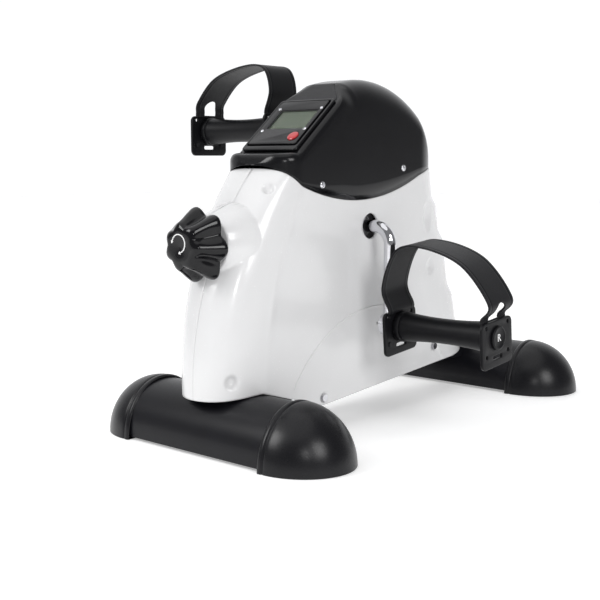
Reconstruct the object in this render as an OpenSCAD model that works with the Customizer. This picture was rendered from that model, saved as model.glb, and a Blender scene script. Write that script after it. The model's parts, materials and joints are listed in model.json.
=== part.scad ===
// Desk pedal exerciser: a steel base on two cross tubes, a one-piece crank with strapped pedals,
// a screw-adjusted friction brake, a two-half shell, and a hood with a small display.
// +X is the user's right, +Y points away from the user, and the feet stand on z = 0.

/* [Base] */
// Distance between the two cross tubes, centre to centre
foot_span = 412; // [380:2:430]
// Length of each bare cross tube between its end caps' rims
tube_run = 181; // [170:1:200]
// Height of the cross tube's arched top
tube_h = 53; // [51:0.5:54]
// Half width of the cross tube at its base
tube_half_w = 45; // [42:0.5:46]
// Wall of the cross tube
tube_wall = 1.6; // [1.2:0.1:2.5]
// Width of the long base beam
beam_w = 40; // [36:1:46]
// Height of the beam's underside
beam_z0 = 34; // [32:1:36]
// Height of the beam's top
beam_z1 = 62; // [58:1:64]

/* [End caps] */
// Reach of an end cap beyond its rim
cap_reach = 54.5; // [50:0.5:58]
// Half width of an end cap
cap_half_w = 49; // [48.5:0.5:52]
// Height of an end cap
cap_h = 56; // [55:0.5:60]

/* [Crank] */
// Distance of the crank axis in front of the centre
crank_y = -40; // [-42:1:-34]
// Height of the crank axis
crank_z = 199.5; // [190:0.5:205]
// Crank radius
crank_r = 98; // [95:1:102]
// Diameter of the crank bar
bar_d = 12.5; // [12:0.5:12.5]
// Bend radius of the crank bar's centreline
bend_r = 18; // [12:0.5:22]
// Sideways place of the crank arms
arm_x = 67; // [65:0.5:67]

/* [Pedals] */
// Tilt of the right pedal at rest, rear end up
pedal_tilt_right = 5; // [-20:1:20]
// Sideways place of the inner face of a pedal
pedal_x0 = 78; // [78:0.5:80]
// Sideways place of the outer face of a pedal
pedal_x1 = 191; // [186:1:195]
// Thickness of a pedal's end plates
plate_t = 3; // [2.5:0.5:4]
// Radius of the roller at its ends
roller_r = 15.5; // [15:0.5:16]
// Radius of the roller at its waist
waist_r = 12.5; // [12:0.5:13]
// Rise of the left strap above its axle
strap_rise_left = 67; // [60:1:90]
// Rise of the right strap above its axle
strap_rise_right = 84; // [60:1:90]
// Width of a strap
strap_w = 42; // [38:1:46]
// Thickness of a strap
strap_t = 2.4; // [2:0.2:3]

/* [Body] */
// Half width of the body
body_hw = 42.5; // [42:0.5:43]
// Thickness of the shell and the hood
wall = 2.6; // [2.4:0.2:3]
// Radius of the hole that the crank leaves through
crank_hole_r = 13; // [12:0.5:14]

/* [Display] */
// Half width of the console frame
console_hw = 35; // [34:0.5:35]
// Half width of the display window
lcd_hw = 24; // [22:0.5:25]

/* [Brake] */
// Radius of the brake drum
drum_r = 48; // [44:1:50]
// Width of the brake drum
drum_w = 18; // [16:1:22]
// Pitch of the tension screw
screw_pitch = 1.25; // [1:0.25:1.5]
// Radius of the tension knob over its lobes
knob_r = 35; // [33:0.5:36]
// Number of lobes on the knob
knob_lobes = 7; // [5:1:9]

/* [Hidden] */

$fn = 48;
steel = "silver";
black = [0.07, 0.07, 0.08];
white = [0.93, 0.93, 0.94];
chrome = [0.8, 0.8, 0.83];

foot_y = foot_span / 2;
rim_x = tube_run / 2;
tube_z0 = 2.5;                 // underside of a cross tube
fit = 0.05;                    // radial clearance of a running fit
gap = 0.3;                     // clearance between pieces that move past each other
left = -1;
right = 1;

// ---- Body surface: everything below is in (y, z), with x as a half width ----
nose_z0 = 50;
function clamp01(t) = min(1, max(0, t));
function smooth(t) = let (u = clamp01(t)) u * u * (3 - 2 * u);
function front_y(z) = -248 + 81 * pow(max(0, z - nose_z0) / 212, 2.2);
function crease_y(z) = -195 + 51 * pow(max(0, z - nose_z0) / 190, 2.1);
function tail_y(z) = 48 + 34 * pow(max(0, 230 - z) / 150, 3);
function step_at(z, level, soft) = smooth((level + soft - z) / (2 * soft));
function rear_y(z) = 101 + 0.22 * (250 - z)
    + 8 * (step_at(z, 220, 6) + step_at(z, 182, 7) + step_at(z, 118, 9));
tail_hw = 15;                  // half width of the tail's blunt end
tail_round = 7;                // depth of the blunt end's rounding
function nose_power(z) = 2 + 0.8 * clamp01((z - nose_z0) / 200);

// One point of the half outline at height z: part 0 is the nose, 1 the side, 2 the tail, 3 the blunt end
function nose_pt(z, a, in) = let (p = 2 / nose_power(z), y0 = front_y(z) + in, y1 = crease_y(z))
    [(body_hw - in) * pow(sin(a), p), y1 - (y1 - y0) * pow(cos(a), p)];
function side_pt(z, t, in) = [body_hw - in, crease_y(z) + t * (tail_y(z) - crease_y(z))];
function tail_pt(z, a, in, end_y) = let (y0 = tail_y(z), y1 = end_y - in - tail_round, w = tail_hw - in)
    [w + (body_hw - in - w) * pow(cos(a), 1.25), y0 + (y1 - y0) * pow(sin(a), 1.25)];
function blunt_pt(z, a, in, end_y) = let (y1 = end_y - in - tail_round)
    [(tail_hw - in) * pow(cos(a), 0.7), y1 + tail_round * pow(sin(a), 0.9)];
nose_n = 9;
side_n = 8;
tail_n = 6;
blunt_n = 4;
outline_n = nose_n + side_n + tail_n + blunt_n;
function outline_pt(z, j, in, end_y) =
    j < nose_n ? nose_pt(z, 90 * j / nose_n, in)
    : j < nose_n + side_n ? side_pt(z, (j - nose_n) / side_n, in)
    : j < nose_n + side_n + tail_n ? tail_pt(z, 90 * (j - nose_n - side_n) / tail_n, in, end_y)
    : blunt_pt(z, 90 * (j - nose_n - side_n - tail_n) / blunt_n, in, end_y);

// Lower edge of the shell, and the seam where the hood meets it
function edge_z(y) = y < -200 ? 54 - 4 * smooth((-200 - y) / 48)
    : y < -113 ? 54 - 0.3 * (y + 200)
    : 27.9 + 0.075 * (y + 113);
function seam_z(y) = y < -145 ? 241.3 + 0.75 * (-145 - y)
    : y < 40 ? 226 + pow(y + 60, 2) / 472
    : 247.2 + 12 * (1 - exp((40 - y) / 28));
// A shell point at share s of the way from the lower edge to the seam. The height depends on y, so it settles.
function shell_pt(s, j, in, z = 150, turns = 7) =
    let (p = outline_pt(z, j, in, rear_y(z)), z1 = edge_z(p[1]) + s * (seam_z(p[1]) - edge_z(p[1])))
    turns == 0 ? [p[0], p[1], z1] : shell_pt(s, j, in, z1, turns - 1);
shell_rings = 26;

module closed_wall(outer, inner) {
    // A thick sheet from two grids of points, outer and inner, each rows by columns
    rows = len(outer);
    cols = len(outer[0]);
    count = rows * cols;
    points = [for (g = [outer, inner]) for (r = g) for (p = r) p];
    function at(g, i, j) = g * count + i * cols + j;
    function quad(a, b, c, d) = [[a, b, c], [a, c, d]];
    faces = concat(
        [for (i = [0 : rows - 2]) for (j = [0 : cols - 2])
            for (f = quad(at(0, i, j), at(0, i + 1, j), at(0, i + 1, j + 1), at(0, i, j + 1))) f],
        [for (i = [0 : rows - 2]) for (j = [0 : cols - 2])
            for (f = quad(at(1, i, j), at(1, i, j + 1), at(1, i + 1, j + 1), at(1, i + 1, j))) f],
        [for (j = [0 : cols - 2])
            for (f = quad(at(0, 0, j), at(0, 0, j + 1), at(1, 0, j + 1), at(1, 0, j))) f],
        [for (j = [0 : cols - 2])
            for (f = quad(at(0, rows - 1, j), at(1, rows - 1, j), at(1, rows - 1, j + 1),
                at(0, rows - 1, j + 1))) f],
        [for (i = [0 : rows - 2])
            for (f = quad(at(0, i, 0), at(1, i, 0), at(1, i + 1, 0), at(0, i + 1, 0))) f],
        [for (i = [0 : rows - 2])
            for (f = quad(at(0, i, cols - 1), at(0, i + 1, cols - 1), at(1, i + 1, cols - 1),
                at(1, i, cols - 1))) f]);
    polyhedron(points, faces, convexity = 8);
}

function shell_grid(in) = [for (i = [0 : shell_rings]) [for (j = [0 : outline_n]) shell_pt(i / shell_rings, j, in)]];

// ---- Hood: cross sections along y ----
seam_gap = 0.7;                // between the hood's rim and the shell
hood_y0 = -170.5;
hood_y1 = 97;
dome_y = -28;
dome_z = 218;
dome_r = 128;
console_y0 = -145;
console_z0 = 273;
console_y1 = -62;
console_z1 = 341;
function hood_top(y) =
    y < -163 ? 262 + 9.5 * sin(90 * (y - hood_y0) / (-163 - hood_y0))
    : y < console_y0 ? 271.5 + 1.5 * (y + 163) / 18
    : y < console_y1 ? console_z0 + (console_z1 - console_z0) * (y - console_y0) / (console_y1 - console_y0)
    : y < dome_y ? 341 + 5 * sin(90 * (y - console_y1) / (dome_y - console_y1))
    : dome_z + sqrt(max(0, dome_r * dome_r - pow(y - dome_y, 2)));
// Half width of the body in plan at the seam
function hood_hw(y) =
    let (z = seam_z(y), f = hood_y0, c = crease_y(z), n = nose_power(z), t = tail_y(z), e = hood_y1 - tail_round)
    y <= c ? body_hw * pow(max(0.0001, 1 - pow(clamp01((c - y) / (c - f)), n)), 1 / n)
    : y <= t ? body_hw
    : y <= e ? tail_hw + (body_hw - tail_hw) * pow(max(0, 1 - pow((y - t) / (e - t), 1.6)), 1 / 1.6)
    : tail_hw * pow(max(0.0001, 1 - pow((y - e) / tail_round, 2)), 0.5);
function hood_round(y) = 8 + 20 * smooth((y + 86) / 26);
hood_ys = concat([for (i = [0 : 5]) hood_y0 + 7.5 * (1 - cos(90 * i / 5))],
    [-158, -151, console_y0], [for (i = [1 : 6]) console_y0 + i * (console_y1 - console_y0) / 6],
    [for (i = [1 : 4]) console_y1 + i * (dome_y - console_y1) / 4],
    [for (i = [1 : 9]) dome_y + (hood_y1 - tail_round - dome_y) * i / 9],
    [for (i = [1 : 4]) hood_y1 - tail_round * (1 - sin(90 * i / 4))]);
function hood_section(y, in) =
    let (mid = (hood_y0 + hood_y1) / 2, yy = mid + (y - mid) * (1 - 2 * in / (hood_y1 - hood_y0)),
        w = max(0.3, hood_hw(y) - in), z0 = max(seam_z(y), seam_z(yy)) + seam_gap,
        top = max(z0 + 1 - in / 4, hood_top(y) - in), r = max(0.1, min(hood_round(y), w, top - z0 - 0.3)))
    concat(
        [for (t = [0 : 2]) [w, yy, z0 + (top - r - z0) * t / 3]],
        [for (a = [0 : 18 : 90]) [w - r + r * cos(a), yy, top - r + r * sin(a)]],
        [for (a = [90 : -18 : 0]) [-(w - r + r * cos(a)), yy, top - r + r * sin(a)]],
        [for (t = [2 : -1 : 0]) [-w, yy, z0 + (top - r - z0) * t / 3]]);
function hood_grid(in) = [for (y = hood_ys) hood_section(y, in)];

// ---- Small helpers ----
module along_x(x0, x1, y, z, r) {
    // Round bar along x
    translate([x0, y, z]) rotate([0, 90, 0]) cylinder(h = x1 - x0, r = r);
}
module along_y(y0, y1, x, z, r) {
    // Round bar along y
    translate([x, y0, z]) rotate([-90, 0, 0]) cylinder(h = y1 - y0, r = r);
}
module ring_x(x0, x1, y, z, r_out, r_in) {
    difference() {
        along_x(x0, x1, y, z, r_out);
        along_x(x0 - 1, x1 + 1, y, z, r_in);
    }
}
module box_at(x0, x1, y0, y1, z0, z1) {
    translate([x0, y0, z0]) cube([x1 - x0, y1 - y0, z1 - z0]);
}
module place_x(x, y, z) {
    // Sets a flat outline drawn in (y, z) upright, so that extrusion runs along x
    translate([x, y, z]) rotate([90, 0, 90]) children();
}
module side(s) {
    // Mirrors its children for the left side
    if (s == left) mirror([1, 0, 0]) children();
    else children();
}

// ---- Base ----
module tube_outline(in) {
    // Arched cross tube section, flat underneath
    polygon([for (a = [0 : 7.5 : 180])
        [(tube_half_w - in) * cos(a), tube_z0 + in + (tube_h - tube_z0 - 2 * in) * pow(sin(a), 0.8)]]);
}
tube_in = 10;                  // length of tube inside each cap
module cross_tube(y) {
    color(black) difference() {
        place_x(-rim_x - tube_in, y, 0) linear_extrude(tube_run + 2 * tube_in) difference() {
            tube_outline(0);
            tube_outline(tube_wall);
        }
        for (x = bolt_xs) translate([x, y, tube_h - 8]) cylinder(h = 20, r = foot_bolt_r);
    }
}
foot_bolt_r = 4;
bolt_xs = [-10, 10];
module front_tube() { cross_tube(-foot_y); }
module rear_tube() { cross_tube(foot_y); }

module base_beam() {
    beam_y = foot_y + 14;
    color(black) difference() {
        box_at(-beam_w / 2, beam_w / 2, -beam_y, beam_y, beam_z0, beam_z1);
        box_at(-beam_w / 2 + 2, beam_w / 2 - 2, -beam_y - 1, beam_y + 1, beam_z0 + 2, beam_z1 - 2);
        for (y = [-foot_y, foot_y]) {
            place_x(-beam_w, y, 0) linear_extrude(2 * beam_w) tube_outline(0);
            for (x = bolt_xs) translate([x, y, beam_z0]) cylinder(h = 60, r = foot_bolt_r);
        }
    }
}
module foot_bolts() {
    color(steel) for (y = [-foot_y, foot_y]) for (x = bolt_xs) translate([x, y, 0]) {
        translate([0, 0, tube_h - 6]) cylinder(h = beam_z1 - tube_h + 6, r = foot_bolt_r - 0.1);
        translate([0, 0, beam_z1]) cylinder(h = 5, r = 7, $fn = 6);
    }
}

module end_cap(s, y) {
    rim_w = 6;
    color(black) side(s) difference() {
        union() {
            intersection() {
                translate([rim_x, y, 0]) scale([cap_reach, cap_half_w, cap_h]) sphere(r = 1, $fn = 40);
                box_at(rim_x, rim_x + 80, y - 80, y + 80, 0, 80);
            }
            place_x(rim_x - rim_w, y, 0) linear_extrude(rim_w) polygon([for (a = [0 : 9 : 180])
                [(cap_half_w - 0.6) * cos(a), (cap_h - 0.6) * sin(a)]]);
        }
        place_x(rim_x - rim_w - 1, y, 0) linear_extrude(rim_w + 1 + tube_in) offset(delta = 0.1) tube_outline(0);
    }
}
module cap_front_left() { end_cap(left, -foot_y); }
module cap_front_right() { end_cap(right, -foot_y); }
module cap_rear_left() { end_cap(left, foot_y); }
module cap_rear_right() { end_cap(right, foot_y); }

// ---- Upright plates and crank bearings ----
plate_x = 24;                  // inner face of a side plate
plate_thick = 3;
bearing_r = 14;
bearing_w = 8;
module side_plate(s) {
    foot_w = 78;
    head_r = 24;
    color(steel) side(s) difference() {
        union() {
            place_x(plate_x, crank_y, 0) linear_extrude(plate_thick) hull() {
                translate([0, crank_z]) circle(r = head_r);
                translate([-foot_w / 2, beam_z0 + 6]) square([foot_w, 6]);
            }
            along_x(plate_x + plate_thick, plate_x + plate_thick + bearing_w - 2, crank_y, crank_z, bearing_r + 3);
            box_at(beam_w / 2, plate_x + 1, crank_y - foot_w / 2, crank_y + foot_w / 2, beam_z0 + 6, beam_z0 + 9);
        }
        along_x(plate_x - 1, plate_x + 20, crank_y, crank_z, bearing_r);
    }
}
module side_plate_left() { side_plate(left); }
module side_plate_right() { side_plate(right); }
module bearing(s) {
    color(chrome) side(s) difference() {
        ring_x(plate_x + 1, plate_x + 1 + bearing_w, crank_y, crank_z, bearing_r, bar_d / 2 + fit);
        ring_x(plate_x, plate_x + 2, crank_y, crank_z, 11.5, 8.5);
        ring_x(plate_x + bearing_w, plate_x + 2 + bearing_w, crank_y, crank_z, 11.5, 8.5);
    }
}
module bearing_left() { bearing(left); }
module bearing_right() { bearing(right); }

// ---- Crank body ----
drum_hub_r = 13;
hub_x1 = 18;                   // end of the hub, beyond the rim
pin_x = 13.5;
module crank_arm(s) {
    // Bend, arm and pedal eye of one side
    d = s == right ? -1 : 1;
    side(s) {
        translate([arm_x - bend_r, crank_y, crank_z + d * bend_r]) rotate([90, 0, 0])
            rotate([0, 0, d < 0 ? 0 : -90]) rotate_extrude(angle = 90) translate([bend_r, 0]) circle(d = bar_d);
        translate([arm_x, crank_y, crank_z + (d < 0 ? -crank_r : bend_r)])
            cylinder(h = crank_r - bend_r, d = bar_d);
        along_x(arm_x - bar_d / 2, arm_x + bar_d / 2, crank_y, crank_z + d * crank_r, 11);
    }
}
module crank_bar() {
    color(chrome) difference() {
        union() {
            along_x(-arm_x + bend_r, arm_x - bend_r, crank_y, crank_z, bar_d / 2);
            for (s = [left, right]) crank_arm(s);
        }
        along_x(0, 80, crank_y, crank_z - crank_r, axle_r);
        along_x(-80, 0, crank_y, crank_z + crank_r, axle_r);
        translate([pin_x, crank_y, crank_z - 20]) cylinder(h = 40, r = pin_r);
    }
}
pin_r = 2;
module brake_drum() {
    color("dimgray") difference() {
        union() {
            ring_x(-drum_w / 2, drum_w / 2, crank_y, crank_z, drum_r, drum_r - 5);
            along_x(-2, 2, crank_y, crank_z, drum_r - 4);
            along_x(-drum_w / 2, hub_x1, crank_y, crank_z, drum_hub_r);
        }
        along_x(-20, 20, crank_y, crank_z, bar_d / 2);
        translate([pin_x, crank_y, crank_z - 20]) cylinder(h = 40, r = pin_r);
        for (a = [30 : 60 : 330]) translate([0, crank_y, crank_z]) rotate([a, 0, 0])
            along_x(-10, 10, 28, 0, 8);
    }
}
module drum_pin() {
    color(steel) translate([pin_x, crank_y, crank_z - drum_hub_r + 1])
        cylinder(h = 2 * drum_hub_r - 2, r = pin_r);
}
sensor_r = 39.5;               // radius at which the magnet passes the sensor
module sensor_magnet() {
    color("silver") along_x(2, 6, crank_y + sensor_r, crank_z, 2.8);
}

// ---- Pedals ----
axle_r = 5;
axle_end_x = pedal_x1 - 8;
function pedal_z(s) = crank_z + (s == right ? -crank_r : crank_r);
module pedal_axle(s) {
    color(steel) side(s) union() {
        along_x(arm_x - bar_d / 2, arm_x + bar_d / 2 + 0.5, crank_y, pedal_z(s), axle_r);
        along_x(arm_x + bar_d / 2, arm_x + bar_d / 2 + 1.8, crank_y, pedal_z(s), 8);
        along_x(arm_x + bar_d / 2, axle_end_x, crank_y, pedal_z(s), axle_r - 0.5);
    }
}
module pedal_axle_left() { pedal_axle(left); }
module pedal_axle_right() { pedal_axle(right); }
module axle_nut(s) {
    color(steel) side(s) difference() {
        translate([axle_end_x - 5, crank_y, pedal_z(s)]) rotate([0, 90, 0]) cylinder(h = 4, r = 7, $fn = 6);
        along_x(axle_end_x - 9, axle_end_x + 9, crank_y, pedal_z(s), axle_r - 0.5);
    }
}
module axle_nut_left() { axle_nut(left); }
module axle_nut_right() { axle_nut(right); }

roller_x0 = pedal_x0 + plate_t;
roller_x1 = pedal_x1 - plate_t;
module pedal_pose(s) {
    // Turns a pedal about its own axle to its rest angle
    translate([0, crank_y, pedal_z(s)]) rotate([s == right ? pedal_tilt_right : 0, 0, 0])
        translate([0, -crank_y, -pedal_z(s)]) children();
}
module roller(s) {
    // Waisted roller with a through bore and a recess for the axle nut
    half = (roller_x1 - roller_x0) / 2;
    sag = roller_r - waist_r;
    color(black) side(s) translate([(roller_x0 + roller_x1) / 2, crank_y, pedal_z(s)]) rotate([0, 90, 0])
        difference() {
            rotate_extrude() polygon(concat([[0, -half]],
                [for (i = [-6 : 6]) [roller_r - sag * (1 - pow(i / 6, 2)), half * i / 6]], [[0, half]]));
            translate([0, 0, -half - 1]) cylinder(h = 2 * half + 2, r = axle_r - 0.5 + fit);
            translate([0, 0, axle_end_x - 6 - (roller_x0 + roller_x1) / 2]) cylinder(h = 20, r = 9);
        }
}
module roller_left() { pedal_pose(left) roller(left); }
module roller_right() { pedal_pose(right) roller(right); }

pedal_plate_w = 53;
pedal_plate_low = -27;
pedal_plate_high = 17;
hole_y = 18.8;
hole_zs = [-15, 12.5];
slot_hw = 8;                   // half width of the slot under the axle
module plate_outline(low, high) {
    offset(r = 6) offset(delta = -6) polygon([[-pedal_plate_w / 2, low], [pedal_plate_w / 2, low],
        [pedal_plate_w / 2, high], [-pedal_plate_w / 2, high]]);
}
module pedal_plate(s, x0, bore) {
    color(black) side(s) difference() {
        place_x(x0, crank_y, pedal_z(s)) linear_extrude(plate_t) plate_outline(pedal_plate_low, pedal_plate_high);
        along_x(x0 - 1, x0 + plate_t + 1, crank_y, pedal_z(s), bore);
        for (y = [-hole_y, hole_y]) for (z = hole_zs)
            along_x(x0 - 1, x0 + plate_t + 1, crank_y + y, pedal_z(s) + z, 1.8);
        box_at(x0 - 1, x0 + plate_t + 1, crank_y - slot_hw, crank_y + slot_hw, pedal_z(s) - 20, pedal_z(s) - 16);
    }
}
module inner_plate_left() { pedal_pose(left) pedal_plate(left, pedal_x0, axle_r - 0.5 + fit); }
module inner_plate_right() { pedal_pose(right) pedal_plate(right, pedal_x0, axle_r - 0.5 + fit); }
module outer_plate_left() { pedal_pose(left) pedal_plate(left, roller_x1, 9); }
module outer_plate_right() { pedal_pose(right) pedal_plate(right, roller_x1, 9); }
module pedal_end_cap(s) {
    color(black) side(s) difference() {
        union() {
            along_x(roller_x1 - 3, pedal_x1, crank_y, pedal_z(s), 8.9);
            along_x(pedal_x1, pedal_x1 + 2.5, crank_y, pedal_z(s), 11.5);
        }
        along_x(roller_x1 - 4, roller_x1 + 1, crank_y, pedal_z(s), 7.5);
    }
}
module end_cap_left() { pedal_pose(left) pedal_end_cap(left); }
module end_cap_right() { pedal_pose(right) pedal_end_cap(right); }

// The strap's middle line over a pedal, as (x, height above the axle), from the inner plate to the outer one.
// It leans towards the crank and bows out past both plates.
strap_x0 = pedal_x0 + plate_t + strap_t / 2 + 0.1;
strap_x1 = pedal_x1 - plate_t - strap_t / 2 - 0.1;
strap_low = roller_r + 0.2;    // height of the strap's ends above the axle
strap_knee = strap_low + 5;    // height at which the strap leaves its plate
strap_bulge = 6.5;             // how far the strap leans over its inner plate
function strap_knots(s, rise) = s == right
    ? [[strap_x0, strap_low - 6], [strap_x0, strap_low], [strap_x0, strap_knee],
        [strap_x0 - strap_bulge, 0.5 * rise], [strap_x0 + 11, 0.94 * rise],
        [strap_x0 + 42, 1.0 * rise], [strap_x1 - 20, 0.83 * rise], [strap_x1 + 8, 0.42 * rise],
        [strap_x1, strap_knee], [strap_x1, strap_low], [strap_x1, strap_low - 6]]
    : [[strap_x0, strap_low - 6], [strap_x0, strap_low], [strap_x0, strap_knee],
        [strap_x0 - strap_bulge, 0.62 * rise], [strap_x0 + 3, 0.96 * rise],
        [strap_x0 + 32, 1.0 * rise], [strap_x1 - 29, 0.83 * rise], [strap_x1 - 3, 0.48 * rise],
        [strap_x1, strap_knee], [strap_x1, strap_low], [strap_x1, strap_low - 6]];
// Point at t, from 0 to 1, on the smooth curve through the knots
function strap_mid(k, t) = let (n = len(k) - 3, i = min(n - 1, floor(t * n)), f = t * n - i)
    0.5 * ((2 * k[i + 1]) + (k[i + 2] - k[i]) * f
        + (2 * k[i] - 5 * k[i + 1] + 4 * k[i + 2] - k[i + 3]) * f * f
        + (3 * k[i + 1] - k[i] - 3 * k[i + 2] + k[i + 3]) * f * f * f);
function strap_pt(k, t, o) =
    let (d = strap_mid(k, min(1, t + 0.004)) - strap_mid(k, max(0, t - 0.004)), u = d / norm(d))
    strap_mid(k, t) + o * [-u[1], u[0]];
strap_n = 36;
strap_slot_hw = 9.5;           // half width of the slot at the strap's outer end
module strap(s, rise) {
    k = strap_knots(s, rise);
    color(black) side(s) difference() {
        translate([0, crank_y + strap_w / 2, pedal_z(s)]) rotate([90, 0, 0]) linear_extrude(strap_w)
            polygon(concat([for (i = [0 : strap_n]) strap_pt(k, i / strap_n, strap_t / 2)],
                [for (i = [strap_n : -1 : 0]) strap_pt(k, i / strap_n, -strap_t / 2)]));
        along_x(strap_x1 - 30, strap_x1 + 20, crank_y, pedal_z(s) + 24, strap_slot_hw);
    }
}
module strap_left() { pedal_pose(left) strap(left, strap_rise_left); }
module strap_right() { pedal_pose(right) strap(right, strap_rise_right); }
module strap_pins(s) {
    // Pins that hold the strap's ends to the plates
    color(black) side(s) for (y = [-hole_y, hole_y]) {
        along_x(pedal_x0 + plate_t, pedal_x0 + plate_t + 1, crank_y + y, pedal_z(s) - 15, 2.6);
        along_x(pedal_x1 - plate_t - 1, pedal_x1 - plate_t, crank_y + y, pedal_z(s) - 15, 2.6);
    }
}
module strap_pins_left() { pedal_pose(left) strap_pins(left); }
module strap_pins_right() { pedal_pose(right) strap_pins(right); }

// ---- Brake ----
knob_z = 190;
knob_y0 = -261.5;               // user side of the knob
knob_y1 = -233.5;               // body side of the knob
screw_r = 4;
shoe_gap = 2.8;                // felt's clearance to the drum with the brake off
pad_t = 5;
carrier_w = 22;
carrier_y1 = crank_y - drum_r - shoe_gap - pad_t;
carrier_y0 = carrier_y1 - 16;
post_y0 = -136;
post_y1 = -132;
module knob() {
    valley = 5;
    color(black) difference() {
        union() {
            translate([0, knob_y1, knob_z]) rotate([90, 0, 0]) linear_extrude(knob_y1 - knob_y0 - 3)
                polygon([for (a = [0 : 5 : 355]) let (r = knob_r - valley / 2 + valley / 2 * cos(knob_lobes * a))
                    [r * cos(a), r * sin(a)]]);
            along_y(knob_y0, knob_y0 + 6, 0, knob_z, 16);
        }
        along_y(knob_y1 - 20, knob_y1 + 1, 0, knob_z, screw_r);
    }
}
module tension_screw() {
    color(steel) along_y(knob_y1 - 20, carrier_y1 - 1.2, 0, knob_z, screw_r);
}
module screw_collar() {
    // Thrust collar in front of the carrier and clip behind it, so that the screw pushes and pulls the carrier
    color(steel) for (y = [carrier_y0 - 4.2, carrier_y1 - 5.8]) difference() {
        along_y(y, y + 4, 0, knob_z, 7);
        along_y(y - 1, y + 5, 0, knob_z, screw_r);
    }
}
module front_post() {
    // Post with the thread that the tension screw runs in, standing on the beam
    head = 14;
    color(steel) difference() {
        translate([0, post_y1, 0]) rotate([90, 0, 0]) linear_extrude(post_y1 - post_y0) hull() {
            translate([0, knob_z]) circle(r = head);
            translate([-19, beam_z1]) square([38, 5]);
        }
        along_y(post_y0 - 1, post_y1 + 1, 0, knob_z, screw_r + fit);
    }
}
module carrier_guide() {
    // Channel that keeps the shoe carrier from turning, tied to the side plates
    w = carrier_w / 2 + gap;
    color(steel) for (s = [left, right]) side(s) union() {
        box_at(w, w + 3, carrier_y0 - 6, carrier_y1 + 3, knob_z - 9, knob_z + 9);
        box_at(w + 1, plate_x, carrier_y0 - 6, carrier_y0 - 2, knob_z - 9, knob_z + 9);
        box_at(plate_x - 3, plate_x, carrier_y0 - 6, crank_y - 18, knob_z - 9, knob_z + 9);
    }
}
module shoe_carrier() {
    color("gray") difference() {
        box_at(-carrier_w / 2, carrier_w / 2, carrier_y0, carrier_y1, knob_z - 11, knob_z + 11);
        along_y(carrier_y0 - 1, carrier_y1 + 1, 0, knob_z, screw_r + fit);
        along_y(carrier_y1 - 6, carrier_y1 + 1, 0, knob_z, 8);
    }
}
module felt_pad() {
    color("darkseagreen") difference() {
        box_at(-drum_w / 2, drum_w / 2, carrier_y1, carrier_y1 + pad_t + 8, knob_z - 16, knob_z + 18);
        along_x(-20, 20, crank_y - shoe_gap, crank_z, drum_r);
    }
}

// ---- Shell ----
recesses = [[-112, 35], [78, 61]];   // screw holes on the right side, as (y, z)
peep_hole = [-27, 99];               // small hole for reaching the sensor
boss_y0 = -226;
module knob_boss(in) {
    // Flared boss round the knob's screw
    translate([0, boss_y0 + in, knob_z]) rotate([-90, 0, 0]) cylinder(h = 34, r1 = 26 - in, r2 = 37 - in);
}
module shell_half(s) {
    color(white) side(s) difference() {
        union() {
            closed_wall(shell_grid(0), shell_grid(wall));
            intersection() {
                difference() {
                    knob_boss(0);
                    knob_boss(wall);
                }
                box_at(0, 60, -260, front_y(knob_z) + 6, 100, 260);
            }
        }
        along_x(body_hw - 8, body_hw + 8, crank_y, crank_z, crank_hole_r);
        along_y(boss_y0 - 5, boss_y0 + 60, 0, knob_z, 10);
        place_x(20, -foot_y, 0) linear_extrude(40) offset(delta = 1) tube_outline(0);
        box_at(-1, beam_w / 2 + 0.5, -foot_y, foot_y, beam_z0 - 1, beam_z1 + 0.5);
        if (s == right) for (p = recesses) along_x(body_hw - 8, body_hw + 8, p[0], p[1], screw_hole_r);
        if (s == right) along_x(body_hw - 8, body_hw + 8, peep_hole[0], peep_hole[1], 1.6);
    }
}
screw_hole_r = 2.2;
module shell_left() { shell_half(left); }
module shell_right() { shell_half(right); }
module shell_screws() {
    color(chrome) for (p = recesses) union() {
        along_x(body_hw - 16, body_hw - 0.2, p[0], p[1], 1.9);
        along_x(body_hw, body_hw + 0.8, p[0], p[1], 3.6);
    }
}

// ---- Hood and display ----
hood_screw_yz = [[-115.5, 242.1], [15.6, 257]];
module hood() {
    color(black) difference() {
        closed_wall(hood_grid(0), hood_grid(wall));
        for (p = hood_screw_yz) along_x(-body_hw - 5, body_hw + 5, p[0], p[1], 1.7);
        on_console(case_u0 + 1, 0) translate([-31, 0, -20]) cube([62, case_len - 2, 40]);
    }
}
module hood_screws() {
    color(chrome) for (s = [left, right]) for (p = hood_screw_yz) side(s) union() {
        along_x(body_hw - 9, body_hw + 0.2, p[0], p[1], 1.6);
        along_x(body_hw, body_hw + 1.2, p[0], p[1], 3.4);
    }
}
console_tilt = atan2(console_z1 - console_z0, console_y1 - console_y0);
console_len = norm([console_y1 - console_y0, console_z1 - console_z0]);
module on_console(u, lift) {
    // Frame lying on the console face: x across, y up the slope, z out of the face
    translate([0, console_y0, console_z0]) rotate([console_tilt, 0, 0]) translate([0, u, lift]) children();
}
frame_len = 78;
module console_frame() {
    color(black) on_console(0, 0.1) difference() {
        translate([-console_hw, 0, 0]) cube([2 * console_hw, frame_len, 3]);
        translate([-32, 6.5, -1]) cube([64, 68.5, 6]);
    }
}
case_u0 = 6.5;
case_len = 68.5;
window_u0 = 31;
lcd_x = 2;                      // the display sits a little to the right
window_len = 29;
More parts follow.
